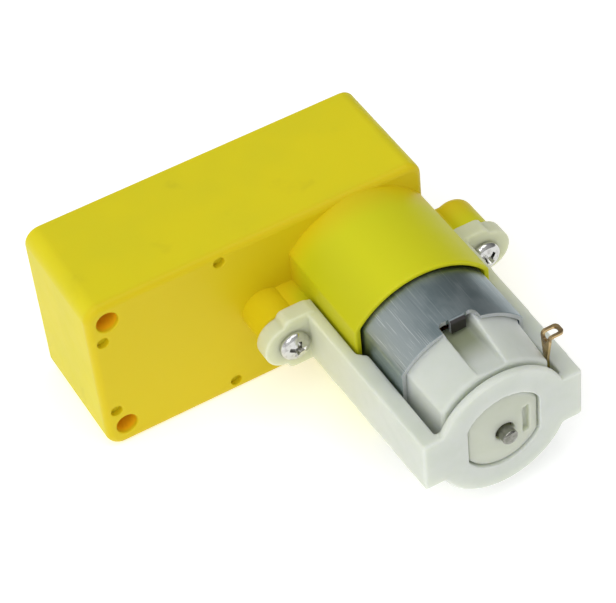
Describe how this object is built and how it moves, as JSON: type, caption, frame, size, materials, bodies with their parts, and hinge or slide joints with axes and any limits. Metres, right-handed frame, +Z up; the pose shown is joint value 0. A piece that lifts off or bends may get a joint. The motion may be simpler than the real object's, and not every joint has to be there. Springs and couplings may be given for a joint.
{
  "type": "geared dc motor",
  "caption": "L-shaped plastic spur gearbox driven by a small brushed can motor, with a double-D output shaft on its back face.",
  "frame": {"origin": "centre of the bounding box's bottom face, on the surface that the gearbox lies on", "axes": "+Z up; X along the gearbox, with the motor at its +X end; +Y along the output shaft, out of the gearbox's back face; the motor points to -Y"},
  "size_m": [0.0526, 0.0594, 0.0234],
  "materials": {
    "yellow_plastic": "moulded ABS, satin, slightly translucent",
    "natural_nylon": "translucent uncoloured nylon, satin",
    "motor_steel": "drawn zinc-plated steel, satin",
    "screw_steel": "nickel-plated, bright",
    "pin_steel": "ground steel",
    "copper": "copper alloy strip",
    "bronze": "sintered bronze or brass",
    "gear_nylon": "natural nylon",
    "shaft_nylon": "white acetal",
    "ferrite": "sintered ferrite, matte",
    "core_steel": "stacked laminations",
    "enamelled_wire": "enamelled copper wire"
  },
  "bodies": {
    "gearmotor_body": {"gearbox_housing": "yellow_plastic", "gearbox_cover": "yellow_plastic", "cover_screw_1": "screw_steel", "cover_screw_2": "screw_steel", "cover_screw_3": "screw_steel", "cover_screw_4": "screw_steel", "motor_bracket": "natural_nylon", "bracket_screw_left": "screw_steel", "bracket_screw_right": "screw_steel", "motor_can": "motor_steel", "motor_end_bell": "natural_nylon", "terminal_left": "copper", "terminal_right": "copper", "brush_left": "copper", "brush_right": "copper", "magnet_upper": "ferrite", "magnet_lower": "ferrite", "front_bearing": "bronze", "rear_bearing": "bronze", "axle_pin_1": "pin_steel", "axle_pin_2": "pin_steel"},
    "rotor": {"rotor_shaft": "pin_steel", "armature_core": "core_steel", "armature_coil_1": "enamelled_wire", "armature_coil_2": "enamelled_wire", "armature_coil_3": "enamelled_wire", "commutator": "copper", "motor_pinion": "bronze"},
    "first_idler": {"first_gear": "gear_nylon"},
    "second_idler": {"second_gear": "gear_nylon"},
    "output": {"output_gear": "gear_nylon", "output_shaft": "shaft_nylon"}
  },
  "joints": [
    {"name": "rotor_spin", "type": "hinge", "parent": "gearmotor_body", "child": "rotor", "pos_m": [0.0093, 0.0207, 0.01185], "axis": [0, 1, 0], "continuous": true},
    {"name": "first_idler_spin", "type": "hinge", "parent": "gearmotor_body", "child": "first_idler", "pos_m": [0.00169, 0.0207, 0.00938], "axis": [0, 1, 0], "continuous": true},
    {"name": "second_idler_spin", "type": "hinge", "parent": "gearmotor_body", "child": "second_idler", "pos_m": [-0.00447, 0.0207, 0.01465], "axis": [0, 1, 0], "continuous": true},
    {"name": "output_spin", "type": "hinge", "parent": "gearmotor_body", "child": "output", "pos_m": [-0.0149, 0.0207, 0.01185], "axis": [0, 1, 0], "continuous": true}
  ],
  "couplings": [
    {"joint": "first_idler_spin", "follows": "rotor_spin", "ratio": -0.25},
    {"joint": "second_idler_spin", "follows": "rotor_spin", "ratio": 0.083333},
    {"joint": "output_spin", "follows": "rotor_spin", "ratio": -0.020833}
  ]
}
